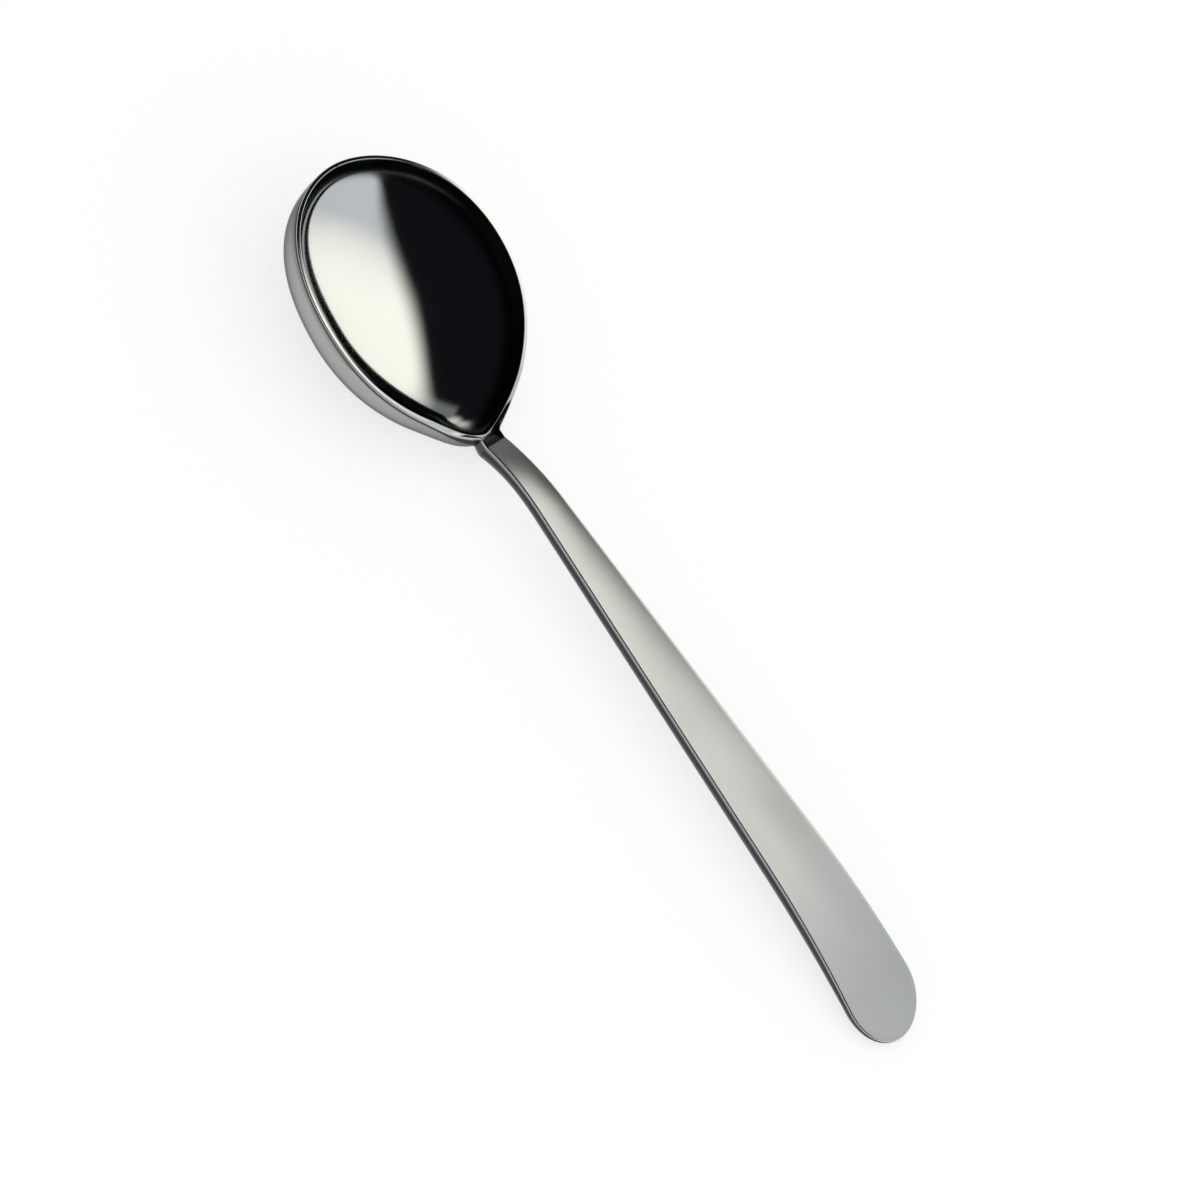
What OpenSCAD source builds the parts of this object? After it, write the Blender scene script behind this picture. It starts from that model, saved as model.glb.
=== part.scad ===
// Serving spoon stamped from one blank of stainless steel: a broad mirror-polished bowl and a satin handle.
// X runs along the spoon, with the bowl at -X and the handle at +X, Y runs across it and Z is up.
// It lies on the belly of its bowl and on the end of its handle, both at z = 0.

/* [Bowl] */
// Length of the bowl from its tip to the crease at the neck
bowl_len = 70.5; // [60:0.5:90]
// Width of the bowl across its rim
bowl_w = 61; // [45:0.5:75]
// Depth of the hollow, straight down from the rim
bowl_depth = 13.5; // [10:0.5:18]
// Distance from the tip to the widest and deepest place
bowl_widest = 32; // [26:0.5:38]
// Sharpness of the outline's tip: 0.5 is an ellipse, as the sides are, and more is more pointed
tip_point = 0.52; // [0.46:0.01:0.65]
// Sharpness of the outline towards the neck, in the same way
neck_point = 0.69; // [0.5:0.01:0.8]
// Roundness of the belly: 2 is an ellipse, more is steeper at the rim and flatter at the bottom
bowl_round = 3.4; // [2.6:0.1:5]
// Roundness of the belly at the tip
tip_round = 4; // [2.6:0.1:6]
// Roundness of the belly at the neck
neck_round = 2.5; // [2:0.1:3.2]
// Roundness of the hollow, as a share of the belly's
hollow_share = 0.6; // [0.5:0.05:1]
// Height of the rim above the crease at its highest place
rim_rise = 10.8; // [7:0.2:15]
// Distance from the crease to that highest place
rim_peak = 58; // [45:0.5:75]
// Curve of the rim seen from the side: 1 is straight, more climbs sooner and then levels off
rim_curve = 1.9; // [1.4:0.1:3]
// Rough thickness of the steel at the bottom of the bowl
belly_t = 1.3; // [1:0.1:2.5]
// Depth to which the belly is flattened where the spoon lies on it
belly_flat = 0.3; // [0.2:0.05:0.5]
// Width of the flat along the top of the rim
rim_w = 1; // [0.8:0.1:2]
// Height of the rim's outer edge
rim_edge = 1; // [0.3:0.1:2]

/* [Neck] */
// Width of the neck at the crease
neck_w = 6.7; // [5.5:0.1:10]
// Thickness of the steel at the crease
neck_t = 4.1; // [3:0.1:5]
// Length of the neck's flat, from the egg shape of the bowl to the crease
neck_run = 2.2; // [1:0.1:5]
// Length of rim over which it starts to rise out of the neck
neck_ease = 11.5; // [4:0.5:16]
// Length of rim over which the edge thickens from the bowl's wall to the neck
neck_reach = 8.5; // [6:0.5:18]
// Length of handle over which the neck's extra thickness fades away
neck_fade = 12; // [6:0.5:18]

/* [Handle] */
// Length of the handle from the crease to its end
handle_len = 159.5; // [120:0.5:200]
// Thickness of the steel along the handle
handle_t = 3; // [2:0.1:4]
// Width of the handle's round end
end_w = 22.8; // [16:0.2:28]
// Thickness of the steel at the handle's end
end_t = 1.3; // [1:0.1:2.5]
// Height that the handle climbs out of the neck
climb = 3; // [1:0.1:5]
// Length of that climb
climb_len = 19; // [12:0.5:35]
// Height that the handle's end bends down to the table
droop = 5.3; // [2:0.1:7]
// Length of that bend
droop_len = 48; // [25:0.5:65]

/* [Hidden] */
polished_steel = [0.80, 0.80, 0.78];
satin_steel = [0.70, 0.69, 0.67];
// Steps along each side of the rim, across the neck, from the middle of the shell to its rim, and in a bend
rim_steps = 36;
neck_steps = 4;
ring_steps = 12;
bend_steps = 12;
// Sharpness with which the bowl's outline and its belly run into the neck
outline_blend = 1.9;
belly_blend = 1.3;
// Half of the angle, seen from the middle of the egg shape, that the end of the hollow takes up
hollow_end = 5;
// Share of each side of the rim that is drawn out to the crease
neck_share = 0.1;
// The least width that the egg shape's walls are measured against
thin = 0.001;
// Sharpness of the outline's sides, which is that of an ellipse
side_point = 0.5;
end_fn = 96;
// Height that is clear of the whole spoon, for cutting the handle's outline
headroom = bowl_depth + belly_t + rim_rise + climb + neck_t;
// The spoon's middle and the bowl's widest place, measured from the crease
mid_x = (handle_len - bowl_len) / 2;
widest_x = bowl_widest - bowl_len;

function clamp(v) = min(max(v, 0), 1);
function smooth(t) = t * t * (3 - 2 * t);
function blend(a, b, sharpness) = pow(pow(a, sharpness) + pow(b, sharpness), 1 / sharpness);

// A value that goes from the middle's to the tip's or the neck's, as t goes from 0 to -1 or to 1
function along(t, tip, middle, neck) =
    middle + (tip - middle) * smooth(clamp(-t)) + (neck - middle) * smooth(clamp(t));

// The egg shape of the bowl, drawn in by inset all round. Its place t is -1 at the tip, 0 where it is
// widest and 1 at its other end.
function egg_len(inset) = bowl_len - neck_run - 2 * inset;
function egg_lead(inset) = (bowl_widest - inset) / egg_len(inset);
function egg_place(x, inset) =
    let (s = clamp((x + bowl_len - inset) / egg_len(inset)))
    let (lead = egg_lead(inset))
    (s - lead) / (s + lead - 2 * s * lead);
function egg_x(t, inset) =
    let (lead = egg_lead(inset))
    inset - bowl_len + egg_len(inset) * lead * (1 + t) / (1 - t + 2 * lead * t);
function egg_half(t, inset) =
    (bowl_w / 2 - inset) * pow(clamp(1 - t * t), along(t, tip_point, side_point, neck_point));

// Depth below the rim at x, y, as a share of the deepest, with a share of the belly's roundness
function egg_depth(x, y, inset, share) =
    let (t = egg_place(x, inset))
    let (off = y / max(egg_half(t, inset), thin))
    let (power = along(t, 1 / tip_round, 1 / bowl_round, 1 / neck_round) / share)
    pow(clamp((1 - t * t) * (1 - off * off)), power);

// Height of the rim at x above the crease
function rim_height(x) =
    rim_rise * (1 - pow(abs(1 + x / rim_peak), rim_curve)) * smooth(clamp(-x / neck_ease));

// Half width of the bowl at x, with its neck
function half_width(x) =
    let (neck = smooth(clamp(1 - x / widest_x)) * neck_w / 2)
    blend(egg_half(egg_place(x, 0), 0), neck, outline_blend);

// Height of the bowl's outer edge at x: thin on the open rim, as thick as the neck at the crease
function edge_height(x) = rim_edge + (neck_t - rim_edge) * smooth(clamp(1 + x / neck_reach));

// Outlines of the hollow and of the bowl from above: one side to the tip, the other side back, then the neck
sweep = [for (i = [0 : rim_steps]) i / rim_steps];
function both_sides(half) = concat(half, [for (i = [len(half) - 2 : -1 : 0]) [half[i].x, -half[i].y]]);
function turn(s) = hollow_end + (180 - hollow_end) * s;
function hollow_point(angle) = [egg_x(cos(angle), rim_w), egg_half(cos(angle), rim_w) * sign(angle)];
function edge_x(s) = egg_x(cos(turn(s)), 0) - egg_x(cos(turn(0)), 0) * pow(clamp(1 - s / neck_share), 2);
across = [for (i = [1 : neck_steps - 1]) 2 * i / neck_steps - 1];
hollow_edge = concat(
    both_sides([for (s = sweep) hollow_point(turn(s))]),
    [for (a = across) hollow_point(hollow_end * a)]
);
bowl_edge = concat(
    both_sides([for (s = sweep) [edge_x(s), half_width(edge_x(s))]]),
    [for (a = across) [0, a * neck_w / 2]]
);

// The shell's rings of points, from the middle of the hollow out to the rim, over it and down to the belly
function inside(x, y) = rim_height(x) - bowl_depth * egg_depth(x, y, rim_w, hollow_share);
function round_belly(x, y) =
    let (belly = (bowl_depth + belly_t) * egg_depth(x, y, 0, 1))
    rim_height(x) - blend(belly, edge_height(x), belly_blend);
function out_to(p, share) = [widest_x + share * (p.x - widest_x), share * p.y];
shares = [for (i = [1 : ring_steps]) sin(90 * i / ring_steps)];
belly_heights = [for (r = shares) for (p = bowl_edge) let (q = out_to(p, r)) round_belly(q.x, q.y)];
flat_z = min(belly_heights) + belly_flat;
function outside(x, y) = max(round_belly(x, y), flat_z);
rings = concat(
    [for (r = shares) [for (p = hollow_edge) let (q = out_to(p, r)) [q.x, q.y, inside(q.x, q.y)]]],
    [[for (p = bowl_edge) [p.x, p.y, rim_height(p.x)]]],
    [for (i = [ring_steps - 1 : -1 : 0])
        [for (p = bowl_edge) let (q = out_to(p, shares[i])) [q.x, q.y, outside(q.x, q.y)]]]
);

// Height of the crease above the table, which the flat of the belly lies on
crease_z = -flat_z;

// Top of the handle at x: a climb out of the neck, a straight run and a bend down to the table
slope = (end_t + droop - crease_z - climb) / handle_len;
function handle_top(x) =
    crease_z + climb + slope * x
    - climb * pow(clamp(1 - x / climb_len), 2)
    - droop * pow(clamp((x - handle_len + droop_len) / droop_len), 2);
function handle_thickness(x) =
    handle_t
    + (neck_t - handle_t) * pow(clamp(1 - x / neck_fade), 2)
    + (end_t - handle_t) * pow(clamp((x - handle_len + droop_len) / droop_len), 2);

module bowl() {
    count = len(bowl_edge);
    last = len(rings) - 1;
    points = concat(
        [for (r = rings) each r],
        [[widest_x, 0, inside(widest_x, 0)], [widest_x, 0, outside(widest_x, 0)]]
    );
    hollow_pole = len(points) - 2;
    belly_pole = len(points) - 1;
    faces = concat(
        [for (j = [0 : count - 1]) [hollow_pole, (j + 1) % count, j]],
        [for (k = [0 : last - 1]) for (j = [0 : count - 1])
            let (a = k * count + j)
            let (b = k * count + (j + 1) % count)
            each [[a, b, b + count], [a, b + count, a + count]]],
        [for (j = [0 : count - 1]) [belly_pole, last * count + j, last * count + (j + 1) % count]]
    );
    color(polished_steel)
    translate([-mid_x, 0, crease_z])
    polyhedron(points, faces);
}

// Outline of the handle from above: straight sides that run from the neck into a round end
module handle_outline() {
    end_r = end_w / 2;
    centre_x = handle_len - end_r;
    reach = norm([centre_x, neck_w / 2]);
    lean = asin(end_r / reach) - atan2(neck_w / 2, centre_x);
    touch = end_r * [-sin(lean), cos(lean)];
    translate([centre_x, 0]) circle(end_r, $fn = end_fn);
    polygon([
        [0, -neck_w / 2],
        [centre_x + touch.x, -touch.y],
        [centre_x + touch.x, touch.y],
        [0, neck_w / 2]
    ]);
}

// Section of the handle along its middle
module handle_section() {
    stations = concat(
        [for (i = [0 : bend_steps]) climb_len * i / bend_steps],
        [for (i = [0 : bend_steps]) handle_len - droop_len * (1 - i / bend_steps)]
    );
    last = len(stations) - 1;
    polygon(concat(
        [for (x = stations) [x, handle_top(x)]],
        [for (i = [last : -1 : 0])
            let (x = stations[i])
            [x, handle_top(x) - handle_thickness(x)]]
    ));
}

module handle() {
    color(satin_steel)
    translate([-mid_x, 0, 0])
    intersection() {
        rotate([90, 0, 0]) linear_extrude(2 * end_w, center = true) handle_section();
        linear_extrude(headroom) handle_outline();
    }
}

bowl();
handle();
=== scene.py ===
"""Looks of a stainless steel serving spoon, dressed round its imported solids.

The mirror-polished bowl and the satin handle are bent from flat grids of points by
Geometry Nodes, from the sizes that the solids have. Lengths in the classes are in
millimetres where nothing else is said, and every finished mesh is in metres.
"""

import logging
import math
from dataclasses import asdict, dataclass
from enum import Enum
from typing import Callable

import bpy
from mathutils import Matrix, Vector


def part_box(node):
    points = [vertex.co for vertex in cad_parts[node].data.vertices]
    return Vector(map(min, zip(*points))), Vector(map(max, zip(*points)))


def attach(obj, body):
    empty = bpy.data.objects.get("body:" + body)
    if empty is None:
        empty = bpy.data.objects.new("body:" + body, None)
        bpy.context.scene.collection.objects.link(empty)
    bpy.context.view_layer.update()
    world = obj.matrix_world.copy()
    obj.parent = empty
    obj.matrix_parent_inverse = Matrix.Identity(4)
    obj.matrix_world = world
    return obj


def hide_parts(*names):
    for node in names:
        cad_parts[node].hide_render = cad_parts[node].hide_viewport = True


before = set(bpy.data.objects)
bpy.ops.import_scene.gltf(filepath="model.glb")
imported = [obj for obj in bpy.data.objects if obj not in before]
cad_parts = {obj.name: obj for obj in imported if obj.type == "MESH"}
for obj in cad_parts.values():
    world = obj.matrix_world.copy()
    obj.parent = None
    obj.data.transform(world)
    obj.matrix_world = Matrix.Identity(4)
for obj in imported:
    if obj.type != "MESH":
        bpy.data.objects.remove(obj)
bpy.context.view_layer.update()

MM = 0.001
QUARTER = math.pi / 2.0
BODY = "root"
WEAR = "edge_wear"
# Attribute of painted shade, which darkens the steel's colour in place of reflections of dark
# surroundings
PAINTED_SHADE = "painted_shade"
GLOW = "glow"
log = logging.getLogger("spoon")

Socket = bpy.types.NodeSocket
Triple = tuple[float, float, float]
Colour = Triple
Number = "Field | float"

WHITE = (1.0, 1.0, 1.0)
CREAM_CLOTH = (1.2, 1.2, 1.11)
BLUE_CLOTH = (0.6, 0.63, 0.66)
GREY_CLOTH = (0.17, 0.18, 0.19)


class Slot(Enum):
    """Material slots of the record."""

    POLISHED = "polished_steel"
    SATIN = "satin_steel"


class Field:
    """A number that the Math nodes of a tree work out at every point."""

    def __init__(self, tree: bpy.types.NodeTree, socket: Socket) -> None:
        """Keeps the output that gives the number."""
        self.tree = tree
        self.socket = socket

    def calc(self, operation: str, *values: Number) -> "Field":
        """Adds one Math node.

        Args:
            operation: The node's operation.
            values: Its inputs in order, fields or plain numbers.

        Returns:
            The node's result.
        """
        node = self.tree.nodes.new("ShaderNodeMath")
        node.operation = operation
        for socket, value in zip(node.inputs, values):
            feed(self.tree, socket, value)
        return Field(self.tree, node.outputs[0])

    def __add__(self, other: Number) -> "Field":
        """Sum."""
        return self.calc("ADD", self, other)

    def __radd__(self, other: float) -> "Field":
        """Sum with a plain number first."""
        return self.calc("ADD", other, self)

    def __sub__(self, other: Number) -> "Field":
        """Difference."""
        return self.calc("SUBTRACT", self, other)

    def __rsub__(self, other: float) -> "Field":
        """Difference from a plain number."""
        return self.calc("SUBTRACT", other, self)

    def __mul__(self, other: Number) -> "Field":
        """Product."""
        return self.calc("MULTIPLY", self, other)

    def __rmul__(self, other: float) -> "Field":
        """Product with a plain number first."""
        return self.calc("MULTIPLY", other, self)

    def __truediv__(self, other: Number) -> "Field":
        """Quotient."""
        return self.calc("DIVIDE", self, other)

    def __pow__(self, other: Number) -> "Field":
        """Power."""
        return self.calc("POWER", self, other)

    def __neg__(self) -> "Field":
        """Opposite."""
        return self.calc("MULTIPLY", self, -1.0)

    def __abs__(self) -> "Field":
        """Size without its sign."""
        return self.calc("ABSOLUTE", self)

    def sign(self) -> "Field":
        """One, nought or minus one."""
        return self.calc("SIGN", self)

    def sqrt(self) -> "Field":
        """Square root."""
        return self.calc("SQRT", self)

    def sin(self) -> "Field":
        """Sine."""
        return self.calc("SINE", self)

    def cos(self) -> "Field":
        """Cosine."""
        return self.calc("COSINE", self)

    def least(self, other: Number) -> "Field":
        """The lesser of two."""
        return self.calc("MINIMUM", self, other)

    def most(self, other: Number) -> "Field":
        """The greater of two."""
        return self.calc("MAXIMUM", self, other)

    def clamp(self) -> "Field":
        """Kept from 0 to 1."""
        return self.most(0.0).least(1.0)

    def smooth(self) -> "Field":
        """Eased at both ends, from 0 to 1."""
        share = self.clamp()
        return share * share * (3.0 - 2.0 * share)


Point = tuple[Number, Number]
Place = tuple[Number, Number, Number]


@dataclass(frozen=True)
class WearAndShade:
    """How the steel of one strip is worn, and how much painted shade darkens its colour, each
    from 0 to 1.

    Attributes:
        wear: How much it is rubbed bright, which only the satin finish shows.
        shade: How much painted shade darkens its colour, standing in for reflections of dark
            surroundings.
    """

    wear: Number = 0.0
    shade: Number = 0.0


def feed(tree: bpy.types.NodeTree, socket: Socket, value: object) -> None:
    """Sets an input of a node, or links an output to it.

    Args:
        tree: Tree that the node is in.
        socket: The input.
        value: A plain value, an output or a field.
    """
    if isinstance(value, Field):
        value = value.socket
    if isinstance(value, Socket):
        tree.links.new(value, socket)
    else:
        socket.default_value = value


def opaque(colour: Colour) -> tuple[float, float, float, float]:
    """A colour as a node's socket takes it."""
    return (*colour, 1.0)


def mix(first: Number, second: Number, share: Number) -> Number:
    """Goes from the first value to the second as share goes from 0 to 1."""
    return first + (second - first) * share


def ease(share: float) -> float:
    """Goes from 0 to 1 with a slow start and end, and stays there beyond."""
    share = min(max(share, 0.0), 1.0)
    return share * share * (3.0 - 2.0 * share)


def blend(first: Field, second: Field, sharpness: float) -> Field:
    """The greater of two heights or widths, with a soft change between them."""
    return (first**sharpness + second**sharpness) ** (1.0 / sharpness)


def direction(turn: float, height: float) -> Vector:
    """Direction in which something is seen from the spoon.

    Args:
        turn: Degrees round from +Y towards +X.
        height: Degrees above the floor.

    Returns:
        The direction, one metre long.
    """
    up, round_ = math.radians(height), math.radians(turn)
    level = math.cos(up)
    return Vector((math.sin(round_) * level, math.cos(round_) * level, math.sin(up)))


class ShapeTree:
    """A Geometry Nodes tree that bends flat grids of points into one closed piece."""

    WELD = 2e-6
    CREASE_ANGLE = math.radians(35.0)

    def __init__(self, name: str, sizes: dict[str, float]) -> None:
        """Makes an empty tree with one named input for each size.

        Args:
            name: Name of the tree.
            sizes: Value of each input by its name.
        """
        self.tree = bpy.data.node_groups.new(name, "GeometryNodeTree")
        self.sizes: dict[str, float] = {}
        sockets = self.tree.interface
        sockets.new_socket("Geometry", in_out="OUTPUT", socket_type="NodeSocketGeometry")
        for label, value in sizes.items():
            made = sockets.new_socket(label, in_out="INPUT", socket_type="NodeSocketFloat")
            self.sizes[made.identifier] = value
        self.inputs = self.tree.nodes.new("NodeGroupInput")
        position = self.tree.nodes.new("GeometryNodeInputPosition")
        split = self.tree.nodes.new("ShaderNodeSeparateXYZ")
        self.tree.links.new(position.outputs[0], split.inputs[0])
        self.column = Field(self.tree, split.outputs["X"])
        self.row = Field(self.tree, split.outputs["Y"]) + 0.5
        self.nought = self.row * 0.0
        self.strips: list[Socket] = []

    def size(self, label: str) -> Field:
        """The named input as a field."""
        return Field(self.tree, self.inputs.outputs[label])

    def strip(self, columns: int, rows: int, place: Place, wear_and_shade: WearAndShade) -> None:
        """Bends one grid: its columns run from -1 to 1 and its rows from 0 to 1.

        Args:
            columns: Number of points across.
            rows: Number of points along.
            place: Where each point goes, in millimetres.
            wear_and_shade: How its steel is worn, and the painted shade on it.
        """
        nodes, links = self.tree.nodes, self.tree.links
        grid = nodes.new("GeometryNodeMeshGrid")
        grid.inputs["Size X"].default_value = 2.0
        grid.inputs["Size Y"].default_value = 1.0
        grid.inputs["Vertices X"].default_value = columns
        grid.inputs["Vertices Y"].default_value = rows
        made = grid.outputs["Mesh"]
        for name, value in ((WEAR, wear_and_shade.wear), (PAINTED_SHADE, wear_and_shade.shade)):
            mark = nodes.new("GeometryNodeStoreNamedAttribute")
            mark.data_type = "FLOAT"
            mark.domain = "POINT"
            mark.inputs["Name"].default_value = name
            feed(self.tree, mark.inputs["Value"], value)
            links.new(made, mark.inputs["Geometry"])
            made = mark.outputs["Geometry"]
        point = nodes.new("ShaderNodeCombineXYZ")
        for socket, value in zip(point.inputs, place):
            feed(self.tree, socket, value)
        scale = nodes.new("ShaderNodeVectorMath")
        scale.operation = "SCALE"
        scale.inputs["Scale"].default_value = MM
        links.new(point.outputs[0], scale.inputs[0])
        move = nodes.new("GeometryNodeSetPosition")
        links.new(made, move.inputs["Geometry"])
        links.new(scale.outputs[0], move.inputs["Position"])
        self.strips.append(move.outputs["Geometry"])

    def close(self, finish: bpy.types.Material) -> None:
        """Joins and welds the strips, shades them, and gives them their finish.

        Args:
            finish: Material of the whole piece.
        """
        nodes, links = self.tree.nodes, self.tree.links
        join = nodes.new("GeometryNodeJoinGeometry")
        for strip in reversed(self.strips):
            links.new(strip, join.inputs[0])
        weld = nodes.new("GeometryNodeMergeByDistance")
        weld.inputs["Distance"].default_value = self.WELD
        smooth = nodes.new("GeometryNodeSetShadeSmooth")
        angle = nodes.new("GeometryNodeInputMeshEdgeAngle")
        steep = nodes.new("ShaderNodeMath")
        steep.operation = "GREATER_THAN"
        steep.inputs[1].default_value = self.CREASE_ANGLE
        sharp = nodes.new("GeometryNodeSetShadeSmooth")
        sharp.domain = "EDGE"
        sharp.inputs["Shade Smooth"].default_value = False
        whole = nodes.new("GeometryNodeRealizeInstances")
        paint = nodes.new("GeometryNodeSetMaterial")
        paint.inputs["Material"].default_value = finish
        out = nodes.new("NodeGroupOutput")
        chain = [join, weld, smooth, sharp, whole, paint, out]
        for before, after in zip(chain, chain[1:]):
            links.new(before.outputs[0], after.inputs[0])
        links.new(angle.outputs["Unsigned Angle"], steep.inputs[0])
        links.new(steep.outputs[0], sharp.inputs["Selection"])

    def piece(self, name: str) -> bpy.types.Object:
        """Runs the tree and keeps its result as a plain mesh.

        Args:
            name: Name of the piece.

        Returns:
            The finished object, at the origin.
        """
        maker = bpy.data.objects.new(name, bpy.data.meshes.new(name + "_blank"))
        bpy.context.scene.collection.objects.link(maker)
        modifier = maker.modifiers.new("shape", "NODES")
        modifier.node_group = self.tree
        for identifier, value in self.sizes.items():
            modifier[identifier] = value
        bpy.context.view_layer.update()
        graph = bpy.context.evaluated_depsgraph_get()
        mesh = bpy.data.meshes.new_from_object(maker.evaluated_get(graph))
        mesh.name = name
        maker.modifiers.remove(modifier)
        blank = maker.data
        maker.data = mesh
        bpy.data.meshes.remove(blank)
        return maker


@dataclass(frozen=True)
class Marks:
    """Soft random marks in a finish.

    Attributes:
        scale: Repeats for each metre along x, y and z.
        layers: Number of finer layers.
        turn: Rotation in degrees.
    """

    scale: Triple
    layers: float
    turn: Triple = (0.0, 0.0, 0.0)


class Paint:
    """The nodes of one procedural finish."""

    # Strengths between which random marks mostly lie
    WEAK = 0.3
    STRONG = 0.7
    # Numbers of a Mix node's first colour input and of its colour output
    MIX_INPUT = 6
    MIX_OUTPUT = 2

    def __init__(self, name: str) -> None:
        """Makes a material with a plain shader in it.

        Args:
            name: Name of the material.
        """
        self.material = bpy.data.materials.new(name)
        self.material.use_nodes = True
        self.tree = self.material.node_tree
        self.shader = self.tree.nodes["Principled BSDF"]
        self.coords = self.tree.nodes.new("ShaderNodeTexCoord").outputs["Object"]

    def set(self, label: str, value: object) -> None:
        """Sets one of the shader's own sockets, or links an output to it."""
        feed(self.tree, self.shader.inputs[label], value)

    def noise(self, marks: Marks) -> Field:
        """Strength of random marks over the piece's own coordinates.

        Args:
            marks: Their size and direction.

        Returns:
            Their strength, from 0 to 1.
        """
        place = self.tree.nodes.new("ShaderNodeMapping")
        place.vector_type = "POINT"
        place.inputs["Scale"].default_value = marks.scale
        place.inputs["Rotation"].default_value = [math.radians(a) for a in marks.turn]
        feed(self.tree, place.inputs["Vector"], self.coords)
        node = self.tree.nodes.new("ShaderNodeTexNoise")
        node.inputs["Scale"].default_value = 1.0
        node.inputs["Detail"].default_value = marks.layers
        feed(self.tree, node.inputs["Vector"], place.outputs["Vector"])
        return Field(self.tree, node.outputs["Fac"])

    def marked(self, name: str) -> Field:
        """One of the piece's own attributes.

        Args:
            name: Name of the attribute.

        Returns:
            Its value at each place.
        """
        node = self.tree.nodes.new("ShaderNodeAttribute")
        node.attribute_name = name
        return Field(self.tree, node.outputs["Fac"])

    def span(self, strength: Field, low: float, high: float) -> Field:
        """Goes from one number to another as random marks go from weak to strong."""
        share = (strength - self.WEAK) / (self.STRONG - self.WEAK)
        return mix(low, high, share.clamp())

    def tint(self, share: Field, first: Socket | Colour, second: Socket | Colour) -> Socket:
        """Goes from one colour to another.

        Args:
            share: Nought for the first, one for the second.
            first: Colour at the start, or an output that gives it.
            second: Colour at the end, or an output that gives it.

        Returns:
            The mixed colour.
        """
        node = self.tree.nodes.new("ShaderNodeMix")
        node.data_type = "RGBA"
        feed(self.tree, node.inputs["Factor"], share)
        for number, colour in enumerate((first, second), self.MIX_INPUT):
            value = opaque(colour) if isinstance(colour, tuple) else colour
            feed(self.tree, node.inputs[number], value)
        return node.outputs[self.MIX_OUTPUT]

    def bump(self, height: Field, depth: float) -> Socket:
        """Fine relief.

        Args:
            height: Height of the relief, from 0 to 1.
            depth: Its full depth.

        Returns:
            The surface's direction with the relief on it.
        """
        node = self.tree.nodes.new("ShaderNodeBump")
        node.inputs["Strength"].default_value = 1.0
        node.inputs["Distance"].default_value = depth * MM
        feed(self.tree, node.inputs["Height"], height)
        return node.outputs["Normal"]


@dataclass(frozen=True)
class MirrorPolish:
    """Buffed steel: a clear reflection with faint wheel marks in it.

    Attributes:
        bright: Colour where it is buffed most.
        dull: Colour where it is buffed least.
        dark: Colour where painted shade darkens it fully.
        grazed: Tint of what it reflects at a flat angle.
        clear: Roughness where the buffing's clouds are weak.
        hazy: Roughness where they are strong.
        brushed: Roughness where painted shade darkens it fully.
        clouds: Those clouds.
        wheel: Marks of the wheel.
        wheel_depth: Their depth.
    """

    bright: Colour = (0.82, 0.82, 0.80)
    dull: Colour = (0.77, 0.77, 0.75)
    dark: Colour = (0.085, 0.09, 0.095)
    grazed: Colour = (0.35, 0.35, 0.36)
    clear: float = 0.055
    hazy: float = 0.085
    brushed: float = 0.26
    clouds: Marks = Marks((45.0, 45.0, 45.0), 3.0)
    wheel: Marks = Marks((350.0, 9000.0, 9000.0), 2.0, (0.0, 0.0, 12.0))
    wheel_depth: float = 0.00006

    def material(self) -> bpy.types.Material:
        """Makes the finish.

        Returns:
            The material.
        """
        paint = Paint("mirror_polished_steel")
        cloud, shade = paint.noise(self.clouds), paint.marked(PAINTED_SHADE)
        buffed = paint.tint(cloud, self.dull, self.bright)
        # Painted shade darkens the base colour, standing in for reflections of dark surroundings
        paint.set("Base Color", paint.tint(shade, buffed, self.dark))
        paint.set("Specular Tint", opaque(self.grazed))
        paint.set("Metallic", 1.0)
        mirror = paint.span(cloud, self.clear, self.hazy)
        paint.set("Roughness", mix(mirror, self.brushed, shade))
        paint.set("Normal", paint.bump(paint.noise(self.wheel), self.wheel_depth))
        return paint.material


@dataclass(frozen=True)
class SatinGrain:
    """Satin steel: fine grain along the handle, rubbed bright on the edges.

    Attributes:
        bright: Colour of the grain's ridges.
        dull: Colour of its furrows.
        dark: Colour where painted shade darkens it fully.
        grazed: Tint of what it reflects at a flat angle.
        smooth: Roughness where the clouds of wear are weak.
        rough: Roughness where they are strong.
        rubbed: Roughness of the edges that are rubbed bright.
        mirrored: Share of the light that it reflects as metal does.
        grain: Grain of the steel.
        grain_depth: Its depth.
        clouds: Clouds of wear.
    """

    bright: Colour = (0.71, 0.71, 0.70)
    dull: Colour = (0.65, 0.65, 0.64)
    dark: Colour = (0.05, 0.053, 0.056)
    grazed: Colour = (0.4, 0.4, 0.41)
    smooth: float = 0.26
    rough: float = 0.34
    rubbed: float = 0.16
    mirrored: float = 0.85
    grain: Marks = Marks((130.0, 9000.0, 9000.0), 3.0)
    grain_depth: float = 0.0006
    clouds: Marks = Marks((30.0, 90.0, 90.0), 2.0)

    def material(self) -> bpy.types.Material:
        """Makes the finish.

        Returns:
            The material.
        """
        paint = Paint("satin_steel")
        grain, cloud = paint.noise(self.grain), paint.noise(self.clouds)
        brushed = paint.tint(grain, self.dull, self.bright)
        # Painted shade darkens the base colour, standing in for reflections of dark surroundings
        paint.set("Base Color", paint.tint(paint.marked(PAINTED_SHADE), brushed, self.dark))
        paint.set("Specular Tint", opaque(self.grazed))
        paint.set("Metallic", self.mirrored)
        satin = paint.span(cloud, self.smooth, self.rough)
        paint.set("Roughness", mix(satin, self.rubbed, paint.marked(WEAR)))
        paint.set("Normal", paint.bump(grain, self.grain_depth))
        return paint.material


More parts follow.
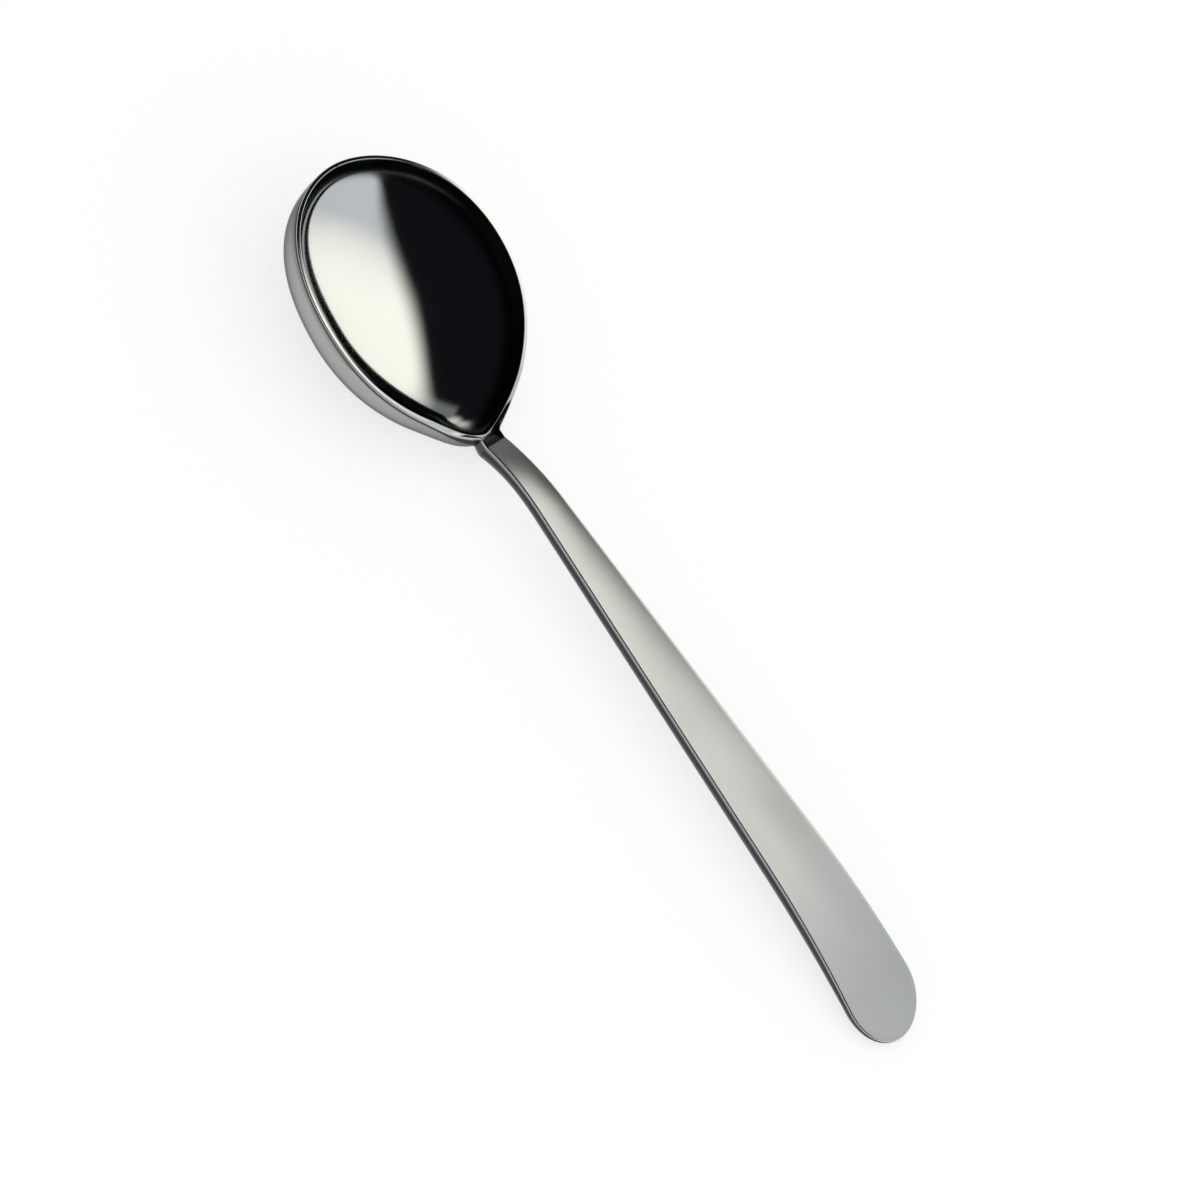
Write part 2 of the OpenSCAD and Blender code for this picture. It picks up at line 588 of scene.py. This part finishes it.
@dataclass(frozen=True)
class Neck:
    """The narrow place that the bowl and the handle share, and the handle's rounded edges.

    Attributes:
        crease_x: Place of the crease along the spoon.
        crease_z: Height of the crease above the table.
        width: Width at the crease.
        thickness: Thickness of the steel there.
        run: Length of the flat between the bowl's egg shape and the crease.
        ease: Length of rim over which it starts to rise.
        reach: Length of rim over which its edge thickens.
        fade: Length of handle over which the extra thickness fades away.
        top_round: Rounding of the upper edge.
        under_round: Rounding of the lower edge.
    """

    crease_x: float
    crease_z: float
    width: float = 6.7
    thickness: float = 4.1
    run: float = 2.2
    ease: float = 11.5
    reach: float = 8.5
    fade: float = 12.0
    top_round: float = 0.35
    under_round: float = 0.7


class Egg:
    """The egg shape of the bowl seen from above, drawn in by a distance all round."""

    # Taken off the depth's share, so that rounding errors at the rim give no depth
    BRIM = 3e-6
    # The least half width that a place across the shape is measured against
    THIN = 0.001
    POINTS = ("tip_point", "side_point", "end_point")
    WALLS = ("tip_wall", "side_wall", "end_wall")

    def __init__(self, tree: ShapeTree, inset: Number, share: Number) -> None:
        """Works out what the shape needs once.

        Args:
            tree: Tree with the bowl's sizes.
            inset: Distance that the shape is drawn in.
            share: Roundness of its walls, as a share of the belly's.
        """
        self.start = inset - tree.size("length")
        self.length = tree.size("length") - tree.size("neck_run") - inset * 2.0
        self.lead = (tree.size("widest") - inset) / self.length
        self.half = tree.size("width") / 2.0 - inset
        self.points = tuple(tree.size(name) for name in self.POINTS)
        self.walls = tuple(tree.size(name) / share for name in self.WALLS)

    def place(self, x: Field) -> Field:
        """Place on the shape: -1 at the tip, 0 where it is widest, 1 at its other end."""
        share = ((x - self.start) / self.length).clamp()
        return (share - self.lead) / (share + self.lead - share * self.lead * 2.0)

    def along(self, place: Number) -> Field:
        """Distance along the spoon of a place on the shape."""
        share = self.lead * (1.0 + place) / (1.0 - place + self.lead * place * 2.0)
        return self.start + self.length * share

    def power(self, place: Field, powers: tuple[Field, Field, Field]) -> Field:
        """Goes from the side's power to the tip's or the neck's."""
        tip, side, end = powers
        return side + (tip - side) * (-place).smooth() + (end - side) * place.smooth()

    def width(self, place: Field) -> Field:
        """Half width of the shape at a place."""
        return self.half * (1.0 - place * place).clamp() ** self.power(place, self.points)

    def depth(self, x: Field, y: Field) -> Field:
        """Depth below the rim.

        Args:
            x: Place along the spoon.
            y: Place across it.

        Returns:
            The depth as a share of the deepest.
        """
        place = self.place(x)
        off = y / self.width(place).most(self.THIN)
        fill = (1.0 - place * place) * (1.0 - off * off) - self.BRIM
        return fill.clamp() ** self.power(place, self.walls)

    def edge(self, turn: Field) -> Point:
        """Point on the shape's edge: turn is 0 at the neck and half a circle at the tip."""
        place = turn.cos()
        return self.along(place), self.width(place) * turn.sign()


@dataclass
class Piece:
    """A piece of the spoon, bent from strips that are measured from the crease.

    Attributes:
        neck: The neck that the pieces share.
    """

    neck: Neck

    def begin(self, name: str) -> None:
        """Starts the piece's tree, with an input for each of its own sizes and the neck's.

        Args:
            name: Name of the tree.
        """
        sizes = {k: v for k, v in asdict(self).items() if k != "neck"}
        sizes |= {"neck_" + k: v for k, v in asdict(self.neck).items()}
        self.tree = ShapeTree(name, sizes)

    def size(self, label: str) -> Field:
        """One of those sizes as an input of the tree."""
        return self.tree.size(label)

    def add(
        self, columns: int, rows: int, x: Field, y: Field, z: Field, wear_and_shade: WearAndShade
    ) -> None:
        """Adds one strip.

        Args:
            columns: Number of points along the outline.
            rows: Number of points across the strip.
            x: Place along the spoon, from the crease.
            y: Place across it.
            z: Height above the table.
            wear_and_shade: How its steel is worn, and the painted shade on it.
        """
        self.tree.strip(columns, rows, (x + self.size("neck_crease_x"), y, z), wear_and_shade)


@dataclass
class Bowl(Piece):
    """The polished bowl: an egg-shaped shell with a flat rim that runs out into the neck.

    Attributes:
        length: Length from the tip to the crease.
        width: Width across the rim.
        depth: Depth of the hollow below the rim.
        widest: Distance from the tip to the widest and deepest place.
        tip_point: Sharpness of the outline at the tip, where half is an ellipse's.
        side_point: Sharpness at the sides.
        end_point: Sharpness towards the neck.
        tip_wall: One over the roundness of the belly at the tip.
        side_wall: The same at the sides.
        end_wall: The same towards the neck.
        hollow_share: Roundness of the hollow, as a share of the belly's.
        rim_rise: Height of the rim above the crease at its highest place.
        rim_peak: Distance from the crease to that place.
        rim_curve: Curve of the rim seen from the side.
        steel: Rough thickness of the steel at the bottom.
        rim_width: Width of the rim's flat.
        rim_edge: Height of the rim's outer edge.
        rim_round: Rounding of the rim's outer corner.
        lip_round: Rounding of its inner corner.
        land_sink: Depth to which the neck's flat sinks towards the hollow.
    """

    length: float
    width: float
    depth: float = 13.5
    widest: float = 32.0
    tip_point: float = 0.52
    side_point: float = 0.5
    end_point: float = 0.69
    tip_wall: float = 1.0 / 4.0
    side_wall: float = 1.0 / 3.4
    end_wall: float = 1.0 / 2.5
    hollow_share: float = 0.6
    rim_rise: float = 10.8
    rim_peak: float = 58.0
    rim_curve: float = 1.9
    steel: float = 1.3
    rim_width: float = 1.0
    rim_edge: float = 1.0
    rim_round: float = 0.2
    lip_round: float = 0.2
    land_sink: float = 2.0

    OUTLINE_BLEND = 1.9
    BELLY_BLEND = 1.3
    # Half of the angle that the end of the hollow takes up
    HOLLOW_END = math.radians(5.0)
    # Share of each side of the rim that is drawn out to the crease
    NECK_SHARE = 0.1
    # Step over which a slope or a direction is measured
    NUDGE = 0.01
    # Taken off the distance from the outline, so that wall and belly meet at the neck
    SEAM = 0.0002
    # Just below the middle column, so that this one counts to the side after it
    MIDDLE = -1e-6
    SIDE_COLUMNS = 257
    NECK_COLUMNS = 17
    SHELL_ROWS = 72
    ROUND_ROWS = 6
    FLAT_ROWS = 9

    # Share of the depth from which painted shade darkens the hollow's wall upwards, and over
    # which it does
    DARK_FROM = 0.46
    DARK_OVER = 0.2
    # Painted shade on the rim's inner corner, the outer edge and the belly, standing in for
    # reflections of dark surroundings
    LIP = WearAndShade(shade=0.4)
    CORNER = WearAndShade()
    WALL = WearAndShade(shade=1.0)
    BACK = WearAndShade(shade=0.55)

    def build(self, finish: bpy.types.Material) -> bpy.types.Object:
        """Bends the bowl from its strips.

        Args:
            finish: Its material.

        Returns:
            The finished bowl.
        """
        self.begin("bowl_shape")
        self.outline = Egg(self.tree, 0.0, 1.0)
        self.hollow = Egg(self.tree, self.size("rim_width"), self.size("hollow_share"))
        self.sides()
        self.neck_end()
        self.tree.close(finish)
        return self.tree.piece("spoon_bowl")

    def sides(self) -> None:
        """Adds the shell from the neck, round the tip, and back."""
        column = self.tree.column
        side = column.calc("GREATER_THAN", column, self.MIDDLE) * 2.0 - 1.0
        along = 1.0 - abs(column)
        turn = mix(self.HOLLOW_END, math.pi, along)
        start = self.outline.along(math.cos(self.HOLLOW_END))
        fade = (1.0 - (along / self.NECK_SHARE).clamp()) ** 2.0
        edge_x = self.outline.along(turn.cos()) - start * fade
        edge_y = self.half_width(edge_x)
        step = self.half_width(edge_x + self.NUDGE) - self.half_width(edge_x - self.NUDGE)
        slope = step / (2.0 * self.NUDGE) * (-edge_x).clamp()
        lean = (slope * slope + 1.0).sqrt()
        inward = (slope / lean, -column.sign() / lean)

        def edge(inset: Number) -> Point:
            """Point of the outline, drawn in by a distance."""
            return edge_x + inward[0] * inset, edge_y * side + inward[1] * inset

        self.shell(self.SIDE_COLUMNS, turn * side, edge)

    def neck_end(self) -> None:
        """Adds the shell across the crease."""
        across = -(self.tree.column * QUARTER).sin()
        half = self.size("neck_width") / 2.0

        def edge(inset: Number) -> Point:
            """Point of the crease, drawn in from its ends by a distance."""
            return self.tree.nought, across * (half - inset)

        self.shell(self.NECK_COLUMNS, across * self.HOLLOW_END, edge)

    def shell(self, columns: int, turn: Field, edge: Callable[[Number], Point]) -> None:
        """Adds the strips from the middle of the hollow, over the rim, to the belly's middle.

        Args:
            columns: Number of points along the rim.
            turn: Angle round the hollow at each column.
            edge: Gives the outline's point at a distance in from it.
        """
        row = self.tree.row
        quarter = row * QUARTER
        rise, run = quarter.sin(), quarter.cos()
        lip = self.size("lip_round")
        top = mix(self.size("rim_round"), self.size("neck_top_round"), self.near(edge(0.0)[0]))
        rim = self.hollow.edge(turn)
        before, after = self.hollow.edge(turn - self.NUDGE), self.hollow.edge(turn + self.NUDGE)
        step = (after[0] - before[0], after[1] - before[1])
        pace = (step[0] * step[0] + step[1] * step[1]).sqrt()
        outward = (step[1] / pace, -step[0] / pace)

        def set_out(distance: Number) -> Point:
            """Point outside the hollow's edge."""
            return rim[0] + outward[0] * distance, rim[1] + outward[1] * distance

        # The hollow, whose upper wall is darkened by painted shade
        x, y = self.drawn_in(rim, rise)
        deep = self.hollow.depth(x, y)
        drop = lip + (self.size("depth") - lip) * deep
        painted_wall_shade = WearAndShade(shade=((self.DARK_FROM - deep) / self.DARK_OVER).smooth())
        self.lay(columns, self.SHELL_ROWS, x, y, self.rim_top(x, 0.0) - drop, painted_wall_shade)
        # The rim's inner corner, partly darkened by painted shade
        x, y = set_out(lip * (1.0 - run))
        z = self.rim_top(x, 0.0) - lip * (1.0 - rise)
        self.lay(columns, self.ROUND_ROWS, x, y, z, self.LIP)
        # The rim's flat, darkened towards the neck by painted shade
        inner, outer = set_out(lip), edge(top)
        x, y = mix(inner[0], outer[0], row), mix(inner[1], outer[1], row)
        flat = WearAndShade(shade=self.near(x))
        self.lay(columns, self.FLAT_ROWS, x, y, self.rim_top(x, row), flat)
        # The rim's outer corner
        x, y = edge(top * (1.0 - rise))
        z = self.rim_top(x, 1.0) - top * (1.0 - run)
        self.lay(columns, self.ROUND_ROWS, x, y, z, self.CORNER)
        # The outer edge, darkened by painted shade
        x, y = edge(0.0)
        z = mix(self.rim_top(x, 1.0) - top, self.outside(x, y), row)
        self.lay(columns, self.ROUND_ROWS, x, y, z, self.WALL)
        # The belly, partly darkened by painted shade
        x, y = self.drawn_in((x, y), run)
        self.lay(columns, self.SHELL_ROWS, x, y, self.outside(x, y), self.BACK)

    def lay(
        self, columns: int, rows: int, x: Field, y: Field, z: Field, wear_and_shade: WearAndShade
    ) -> None:
        """Adds one strip whose height is measured from the crease too."""
        self.add(columns, rows, x, y, z + self.size("neck_crease_z"), wear_and_shade)

    def half_width(self, x: Field) -> Field:
        """Half width of the whole bowl with its neck.

        Args:
            x: Place along the spoon.

        Returns:
            The half width.
        """
        centre = self.size("length") - self.size("widest")
        neck = (1.0 + x / centre).smooth() * self.size("neck_width") / 2.0
        return blend(self.outline.width(self.outline.place(x)), neck, self.OUTLINE_BLEND)

    def rim_height(self, x: Field) -> Field:
        """Height of the rim.

        Args:
            x: Place along the spoon.

        Returns:
            The height above the crease.
        """
        off = abs(1.0 + x / self.size("rim_peak"))
        start = (-x / self.size("neck_ease")).smooth()
        return self.size("rim_rise") * (1.0 - off ** self.size("rim_curve")) * start

    def near(self, x: Field) -> Field:
        """How close a place is to the neck: 0 on the open rim, 1 at the crease."""
        return (1.0 + x / self.size("neck_reach")).smooth()

    def rim_top(self, x: Field, out: Number) -> Field:
        """Height of the rim's flat at x, where out is 0 at the hollow and 1 at the outer edge."""
        sink = self.size("land_sink") * self.near(x) * (1.0 - out)
        return self.rim_height(x) - sink

    def outside(self, x: Field, y: Field) -> Field:
        """Height of the outside: the belly, flat where it lies, and the neck's thick edge.

        Args:
            x: Place along the spoon.
            y: Place across it.

        Returns:
            The height above the crease.
        """
        near = self.near(x)
        edge = mix(self.size("rim_edge"), self.size("neck_thickness"), near)
        curve = self.size("neck_under_round") * near
        inward = self.half_width(x) - abs(y) - self.SEAM
        short = curve - inward.most(0.0).least(curve)
        edge = edge - curve + (curve * curve - short * short).most(0.0).sqrt()
        belly = (self.size("depth") + self.size("steel")) * self.outline.depth(x, y)
        height = self.rim_height(x) - blend(belly, edge, self.BELLY_BLEND)
        return height.most(-self.size("neck_crease_z"))

    def drawn_in(self, point: Point, share: Field) -> Point:
        """A point drawn towards the middle of the egg shape."""
        centre = self.size("widest") - self.size("length")
        return mix(centre, point[0], share), point[1] * share


@dataclass(frozen=True)
class Band:
    """One strip round the handle's edge.

    Attributes:
        rows: Number of points across it.
        inset: Its distance in from the outline.
        drop: Its depth below the face that it is measured from.
        under: That face: 0 for the top, 1 for the underside.
        wear_and_shade: How its steel is worn, and the painted shade on it.
    """

    rows: int
    inset: Field
    drop: Field
    under: Number
    wear_and_shade: WearAndShade


@dataclass
class Handle(Piece):
    """The satin handle: a tapering strip that climbs, runs straight and droops to a round end.

    Attributes:
        length: Length from the crease to the end.
        end_width: Width of the round end.
        body: Thickness of the steel along the handle.
        end_thickness: Thickness at the end.
        climb: Height that it climbs out of the neck.
        climb_length: Length of that climb.
        droop: Height that its end bends down.
        droop_length: Length of that bend.
        dish: Depth of the slight hollow along its top.
    """

    length: float
    end_width: float
    body: float = 3.0
    end_thickness: float = 1.3
    climb: float = 3.0
    climb_length: float = 19.0
    droop: float = 5.3
    droop_length: float = 48.0
    dish: float = 0.4

    # Share of each side's columns that its straight run has
    SIDE_SHARE = 0.72
    # Length over which the edge's inward direction turns square to the outline
    SQUARE_LENGTH = 10.0
    COLUMNS = 401
    FACE_ROWS = 13
    NECK_COLUMNS = 2 * FACE_ROWS - 1
    ROUND_ROWS = 7
    WALL_ROWS = 4

    FACE = WearAndShade()
    BRIGHT = WearAndShade(wear=1.0)
    # Painted shade on the wall, the lower rounding and the underside, standing in for reflections
    # of dark surroundings
    WALL = WearAndShade(wear=0.7, shade=1.0)
    LOWER = WearAndShade(wear=0.7, shade=0.6)
    BACK = WearAndShade(shade=0.35)

    def build(self, finish: bpy.types.Material) -> bpy.types.Object:
        """Bends the handle from its strips.

        Args:
            finish: Its material.

        Returns:
            The finished handle.
        """
        self.begin("handle_shape")
        column, row = self.tree.column, self.tree.row
        side = -column.sign()
        along = 1.0 - abs(column)
        end = self.end_width / 2.0
        centre = self.length - end
        half = self.neck.width / 2.0
        lean = math.asin(end / math.hypot(centre, half)) - math.atan2(half, centre)
        tangent = (centre - end * math.sin(lean), end * math.cos(lean))
        straight = (along / self.SIDE_SHARE).clamp()
        bend = ((along - self.SIDE_SHARE) / (1.0 - self.SIDE_SHARE)).clamp()
        angle = (1.0 - bend) * (QUARTER + lean)
        edge_x = straight * tangent[0] + (angle.cos() * end + (centre - tangent[0]))
        edge_y = mix(half, tangent[1], straight) + (angle.sin() * end - tangent[1])
        inward = (-angle.cos() * (edge_x / self.SQUARE_LENGTH).clamp(), -angle.sin())

        def edge(inset: Number) -> Point:
            """Point of the outline, drawn in by a distance."""
            return edge_x + inward[0] * inset, (edge_y + inward[1] * inset) * side

        spine = edge_x.least(centre)
        top, under = self.size("neck_top_round"), self.size("neck_under_round")
        for rounding, lower, wear_and_shade in ((top, False, self.FACE), (under, True, self.BACK)):
            rim_x, rim_y = edge(rounding)
            share = 1.0 - row if lower else row
            x, y = mix(spine, rim_x, share), rim_y * share
            self.add(self.COLUMNS, self.FACE_ROWS, x, y, self.face(x, share, lower), wear_and_shade)
        for band in self.bands(top, under):
            x, y = edge(band.inset)
            self.add(self.COLUMNS, band.rows, x, y, self.level(x, band), band.wear_and_shade)
            x, y = self.tree.nought, (half - band.inset * math.cos(lean)) * column
            self.add(self.NECK_COLUMNS, band.rows, x, y, self.level(x, band), band.wear_and_shade)
        self.tree.close(finish)
        return self.tree.piece("spoon_handle")

    def bands(self, top: Field, under: Field) -> list[Band]:
        """The strips round the edge, from the top face to the underside.

        Args:
            top: Rounding of the upper edge.
            under: Rounding of the lower edge.

        Returns:
            The upper rounding, the wall and the lower rounding.
        """
        row = self.tree.row
        rise, run = (row * QUARTER).sin(), (row * QUARTER).cos()
        return [
            Band(self.ROUND_ROWS, top * (1.0 - rise), top * (1.0 - run), 0.0, self.BRIGHT),
            Band(self.WALL_ROWS, self.tree.nought, mix(top, -under, row), row, self.WALL),
            Band(self.ROUND_ROWS, under * (1.0 - run), under * (rise - 1.0), 1.0, self.LOWER),
        ]

    def level(self, x: Field, band: Band) -> Field:
        """Height of a strip round the edge."""
        top = self.top(x)
        return mix(top, top - self.thickness(x), band.under) - band.drop

    def face(self, x: Field, share: Field, lower: bool) -> Field:
        """Height of the top face or the underside.

        Args:
            x: Place along the spoon.
            share: Place from the middle of the handle, 0, to its edge, 1.
            lower: True for the underside.

        Returns:
            The height, with the top face's slight hollow in it.
        """
        if lower:
            return self.top(x) - self.thickness(x)
        start = (x / self.size("climb_length")).smooth()
        return self.top(x) - self.size("dish") * start * (1.0 - share * share)

    def top(self, x: Field) -> Field:
        """Height of the handle's edge: a climb out of the neck, a straight run and a droop.

        Args:
            x: Place along the spoon.

        Returns:
            The height above the table.
        """
        crease, climb, droop = (self.size(name) for name in ("neck_crease_z", "climb", "droop"))
        slope = (self.size("end_thickness") + droop - crease - climb) / self.size("length")
        rise = (1.0 - x / self.size("climb_length")).clamp()
        fall = self.fall(x)
        return crease + climb + slope * x - climb * rise * rise - droop * fall * fall

    def fall(self, x: Field) -> Field:
        """Place along the droop, from 0 to 1 at the handle's end."""
        return ((x - self.size("length")) / self.size("droop_length") + 1.0).clamp()

    def thickness(self, x: Field) -> Field:
        """Thickness of the steel: the neck's fades away, and the end is thin.

        Args:
            x: Place along the spoon.

        Returns:
            The thickness.
        """
        body, fall = self.size("body"), self.fall(x)
        start = (1.0 - x / self.size("neck_fade")).clamp()
        neck = (self.size("neck_thickness") - body) * start * start
        return body + neck + (self.size("end_thickness") - body) * fall * fall


@dataclass(frozen=True)
class Card:
    """A round soft patch on the light tent, placed by where it is seen from the spoon.

    Attributes:
        tints: Its light at either side.
        turn: Direction of its middle, in degrees from +Y towards +X.
        height: Height of its middle, in degrees above the floor.
        radius: Its radius, in degrees.
        soft: Width of its soft edge, in degrees.
        sweep: Turns between which its light goes from the first tint to the second.
    """

    tints: tuple[Colour, Colour]
    turn: float
    height: float
    radius: float
    soft: float
    sweep: tuple[float, float]

    def tint(self, turn: float) -> Vector:
        """Its light at a turn.

        Args:
            turn: Degrees from +Y towards +X.

        Returns:
            The light's colour.
        """
        start, end = self.sweep
        first, second = (Vector(tint) for tint in self.tints)
        return first.lerp(second, ease((turn - start) / (end - start)))

    def share(self, turn: float, height: float) -> float:
        """How much of the patch is seen in a direction, from 0 to 1."""
        apart = direction(turn, height).angle(direction(self.turn, self.height))
        return ease((self.radius - math.degrees(apart)) / self.soft + 0.5)


@dataclass
class Studio:
    """Floor, light and camera.

    Attributes:
        floor_colour: Colour of the floor.
        floor_rough: Its roughness.
        floor_half: Half of its side, in metres.
        floor_gap: Gap below the spoon, so that no face lies in the floor.
        room: Strength of the even light.
        dark: Light of the tent's dark cloth.
        cards: Patches on the tent, each over those before it.
        tent_size: Radius of the tent, in metres.
        elevation: Height of the camera, in degrees above the floor.
        heading: Direction in which it looks, in degrees from +Y towards +X.
        roll: Its turn about the line of sight, in degrees.
        distance: Distance from the crease.
        focal: Focal length, in pixels of the picture.
        image: Side of the picture, in pixels.
        crease_at: Where the picture shows the crease, in pixels from its top left corner.
    """

    floor_colour: Colour = (0.9, 0.9, 0.9)
    floor_rough: float = 0.9
    floor_half: float = 3.0
    floor_gap: float = 0.05
    room: float = 0.45
    dark: Colour = (0.006, 0.006, 0.008)
    cards: tuple[Card, ...] = (
        Card(
            tints=(GREY_CLOTH, GREY_CLOTH),
            turn=-45.0,
            height=-2.0,
            radius=40.0,
            soft=8.0,
            sweep=(-90.0, 0.0),
        ),
        Card(
            tints=(CREAM_CLOTH, BLUE_CLOTH),
            turn=34.5,
            height=13.3,
            radius=50.5,
            soft=9.0,
            sweep=(2.0, 30.0),
        ),
    )
    tent_size: float = 2.0
    elevation: float = 45.7
    heading: float = -6.45
    roll: float = 49.41
    distance: float = 906.0
    focal: float = 4076.0
    image: float = 1200.0
    crease_at: tuple[float, float] = (497.0, 442.6)

    SENSOR = 36.0
    CLIP_START = 0.01
    SEEN_BY = ("Is Camera Ray", "Is Glossy Ray", "Is Transmission Ray")
    # The tent's lowest and highest ring and the step between its points, in degrees
    TENT_FOOT = -4
    TENT_TOP = 90
    TENT_STEP = 2
    # The tent is seen by reflections alone
    BLIND_TO_TENT = ("camera", "diffuse", "transmission", "volume_scatter", "shadow")

    def camera(self, crease: Vector) -> bpy.types.Object:
        """Points the camera as the photograph was taken.

        Args:
            crease: Middle of the crease, in metres.

        Returns:
            The camera.
        """
        round_, lean = math.radians(self.heading), math.radians(self.roll)
        forward = direction(self.heading, -self.elevation)
        right = Vector((math.cos(round_), -math.sin(round_), 0.0))
        above = right.cross(forward)
        across = math.cos(lean) * right + math.sin(lean) * above
        upright = -math.sin(lean) * right + math.cos(lean) * above
        aim = Matrix((across, upright, -forward)).transposed()
        half, (left, down) = self.image / 2.0, self.crease_at
        sight = Vector(((left - half) / self.focal, (half - down) / self.focal, -1.0))
        swing = sight.rotation_difference(Vector((0.0, 0.0, -1.0))).to_matrix()
        data = bpy.data.cameras.new("camera")
        data.sensor_width = self.SENSOR
        data.lens = self.focal * data.sensor_width / self.image
        data.clip_start = self.CLIP_START
        camera = bpy.data.objects.new("camera", data)
        stand = Matrix.Translation(crease - forward * self.distance * MM)
        camera.matrix_world = stand @ (aim @ swing).to_4x4()
        bpy.context.scene.collection.objects.link(camera)
        bpy.context.scene.camera = camera
        return camera

    def floor(self) -> bpy.types.Object:
        """Lays the pale floor.

        Returns:
            The floor.
        """
        half, low = self.floor_half, -self.floor_gap * MM
        mesh = bpy.data.meshes.new("floor")
        corners = [(-half, -half, low), (half, -half, low), (half, half, low), (-half, half, low)]
        mesh.from_pydata(corners, [], [(0, 1, 2, 3)])
        floor = bpy.data.objects.new("floor", mesh)
        bpy.context.scene.collection.objects.link(floor)
        paint = Paint("pale_floor")
        paint.set("Base Color", opaque(self.floor_colour))
        paint.set("Roughness", self.floor_rough)
        paint.set("Specular IOR Level", 0.0)
        paint.set("Emission Color", opaque(WHITE))
        lack = 1.0 - self.floor_colour[0] * self.room
        paint.set("Emission Strength", self.seen(paint.tree, 0.0, lack))
        mesh.materials.append(paint.material)
        return floor

    def seen(self, tree: bpy.types.NodeTree, hidden: float, shown: float) -> Field:
        """One strength for the camera, metal and glass, and another for the light on the rest.

        Args:
            tree: Node tree of the floor or the world.
            hidden: Strength of the light on the rest.
            shown: Strength of what is seen.

        Returns:
            The strength.
        """
        path = tree.nodes.new("ShaderNodeLightPath")
        camera, metal, glass = (Field(tree, path.outputs[name]) for name in self.SEEN_BY)
        return mix(hidden, shown, camera.most(metal).most(glass))

    def light(self) -> None:
        """Lights the room evenly."""
        world = bpy.data.worlds.new("studio")
        world.use_nodes = True
        bpy.context.scene.world = world
        tree = world.node_tree
        background = tree.nodes["Background"]
        feed(tree, background.inputs["Color"], opaque(WHITE))
        feed(tree, background.inputs["Strength"], self.seen(tree, self.room, 1.0))

    def glow(self, turn: float, height: float) -> Colour:
        """Light of the tent in a direction.

        Args:
            turn: Degrees from +Y towards +X.
            height: Degrees above the floor.

        Returns:
            Its colour.
        """
        colour = Vector(self.dark)
        for card in self.cards:
            colour = colour.lerp(card.tint(turn), card.share(turn, height))
        return tuple(colour)

    def cloth(self) -> bpy.types.Material:
        """Makes the tent's cloth, which gives off the light that each of its points has.

        Returns:
            The material.
        """
        material = bpy.data.materials.new("tent_cloth")
        material.use_nodes = True
        material.cycles.emission_sampling = "NONE"
        tree = material.node_tree
        tree.nodes.remove(tree.nodes["Principled BSDF"])
        colour = tree.nodes.new("ShaderNodeAttribute")
        colour.attribute_name = GLOW
        light = tree.nodes.new("ShaderNodeEmission")
        tree.links.new(colour.outputs["Color"], light.inputs["Color"])
        tree.links.new(light.outputs[0], tree.nodes["Material Output"].inputs["Surface"])
        return material

    def tent(self) -> bpy.types.Object:
        """Sets up the tent of dark cloth with soft patches that the steel reflects.

        Returns:
            The tent.
        """
        turns = range(-180, 180, self.TENT_STEP)
        heights = range(self.TENT_FOOT, self.TENT_TOP + 1, self.TENT_STEP)
        points, glows, faces = [], [], []
        for height in heights:
            for turn in turns:
                points.append(direction(turn, height) * self.tent_size)
                glows.extend(opaque(self.glow(turn, height)))
        count = len(turns)
        for ring in range(len(heights) - 1):
            for i in range(count):
                a, b = ring * count + i, ring * count + (i + 1) % count
                faces.append((a, b, b + count, a + count))
        mesh = bpy.data.meshes.new("light_tent")
        mesh.from_pydata(points, [], faces)
        mesh.attributes.new(GLOW, "FLOAT_COLOR", "POINT").data.foreach_set("color", glows)
        mesh.materials.append(self.cloth())
        tent = bpy.data.objects.new("light_tent", mesh)
        bpy.context.scene.collection.objects.link(tent)
        for kind in self.BLIND_TO_TENT:
            setattr(tent, "visible_" + kind, False)
        return tent


def main() -> None:
    """Builds the spoon, dresses it and sets up the picture."""
    logging.basicConfig(level=logging.INFO, format="%(message)s")
    bowl_low, bowl_high = (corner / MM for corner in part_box("bowl"))
    handle_low, handle_high = (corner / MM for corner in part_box("handle"))
    neck = Neck(crease_x=handle_low.x, crease_z=bowl_high.z - Bowl.rim_rise)
    bowl = Bowl(neck, length=bowl_high.x - bowl_low.x, width=bowl_high.y - bowl_low.y)
    handle = Handle(
        neck, length=handle_high.x - handle_low.x, end_width=handle_high.y - handle_low.y
    )
    pieces = (
        (bowl.build(MirrorPolish().material()), "bowl", Slot.POLISHED),
        (handle.build(SatinGrain().material()), "handle", Slot.SATIN),
    )
    for piece, node, slot in pieces:
        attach(piece, BODY)
        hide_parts(node)
        log.info("%s: %d faces", piece.name, len(piece.data.polygons))
    studio = Studio()
    studio.floor()
    studio.light()
    studio.tent()
    studio.camera(Vector((neck.crease_x, 0.0, neck.crease_z)) * MM)
    bpy.context.scene.view_settings.view_transform = "Standard"


if __name__ == "__main__":
    main()
